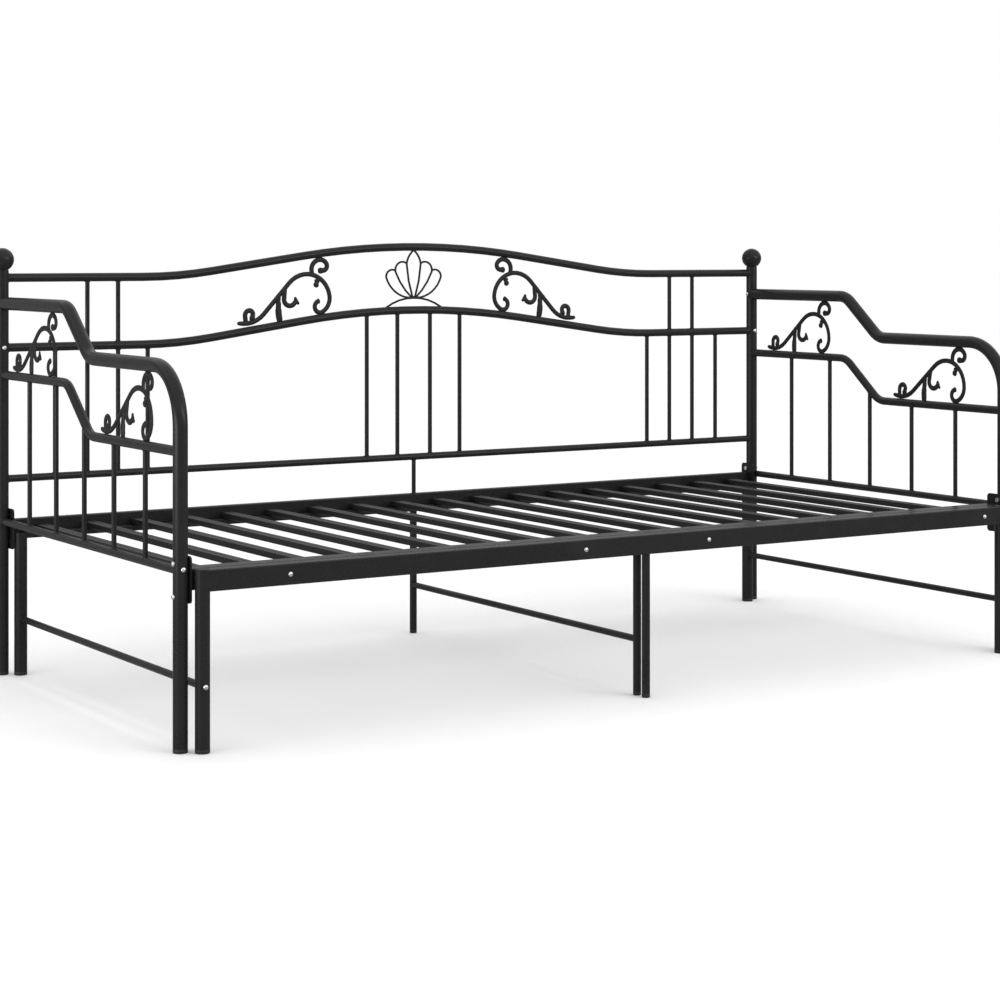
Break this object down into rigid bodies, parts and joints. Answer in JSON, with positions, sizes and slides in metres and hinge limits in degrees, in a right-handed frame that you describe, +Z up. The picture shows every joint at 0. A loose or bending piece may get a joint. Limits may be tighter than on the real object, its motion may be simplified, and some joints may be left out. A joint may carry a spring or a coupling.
{
  "type": "trundle bed",
  "caption": "Metal daybed frame with arched scroll-work back, stepped arms and a slatted front half that slides out on its own legs to make a double bed.",
  "frame": {"origin": "on the floor, at the centre of the whole bed's box with the pull-out closed", "axes": "+X along the bed towards its right end, +Y towards the back panel, +Z up"},
  "size_m": [2.1108, 0.9966, 0.9375],
  "materials": {
    "frame_coat": "satin black powder coat",
    "pull_out_coat": "satin black powder coat",
    "slat_coat": "satin black powder coat, slightly scuffed",
    "cast_scroll": "satin black paint over a cast surface",
    "zinc_bolts": "bright zinc plate",
    "black_plastic": "matte moulded"
  },
  "bodies": {
    "daybed_frame": {"arm_frame_left": "frame_coat", "arm_frame_right": "frame_coat", "back_drop_rod": "frame_coat", "back_lower_rail": "frame_coat", "back_middle_rail": "frame_coat", "back_palmette": "cast_scroll", "back_post_left": "frame_coat", "back_post_right": "frame_coat", "back_rail_joiner": "frame_coat", "back_rail_left": "frame_coat", "back_rail_right": "frame_coat", "back_scroll_left": "cast_scroll", "back_scroll_right": "cast_scroll", "back_spindles": "frame_coat", "back_top_rail": "frame_coat", "back_upper_spindles": "frame_coat", "ball_finials": "frame_coat", "centre_foot_caps": "black_plastic", "centre_leg_back": "frame_coat", "centre_leg_front": "frame_coat", "centre_stretcher": "frame_coat", "corner_bolts": "zinc_bolts", "corner_nuts": "zinc_bolts", "corner_plate_front_left": "frame_coat", "corner_plate_front_right": "frame_coat", "corner_plate_rear_left": "frame_coat", "corner_plate_rear_right": "frame_coat", "fixed_bar_joiner": "frame_coat", "fixed_bar_left": "frame_coat", "fixed_bar_right": "frame_coat", "fixed_slats": "slat_coat", "foot_caps": "black_plastic", "panel_bolts": "zinc_bolts", "side_lower_rail_left": "frame_coat", "side_lower_rail_right": "frame_coat", "side_scroll_front_left": "cast_scroll", "side_scroll_front_right": "cast_scroll", "side_scroll_rear_left": "cast_scroll", "side_scroll_rear_right": "cast_scroll", "side_spindles_left": "frame_coat", "side_spindles_right": "frame_coat", "side_wave_tube_left": "frame_coat", "side_wave_tube_right": "frame_coat"},
    "pull_out": {"pull_centre_cap": "black_plastic", "pull_centre_leg": "pull_out_coat", "pull_foot_caps": "black_plastic", "pull_leg_bolts": "zinc_bolts", "pull_leg_front_left": "pull_out_coat", "pull_leg_front_right": "pull_out_coat", "pull_leg_rear_left": "pull_out_coat", "pull_leg_rear_right": "pull_out_coat", "pull_rail_bolts": "zinc_bolts", "pull_rail_joiner": "pull_out_coat", "pull_rail_left": "pull_out_coat", "pull_rail_right": "pull_out_coat", "pull_stretcher_left": "pull_out_coat", "pull_stretcher_right": "pull_out_coat", "pull_tie_bar": "pull_out_coat", "slat_end_caps": "black_plastic", "sliding_slats": "slat_coat"}
  },
  "joints": [
    {"name": "pull_out_slide", "type": "slide", "parent": "daybed_frame", "child": "pull_out", "axis": [0, -1, 0], "range_m": [0, 0.84]}
  ]
}
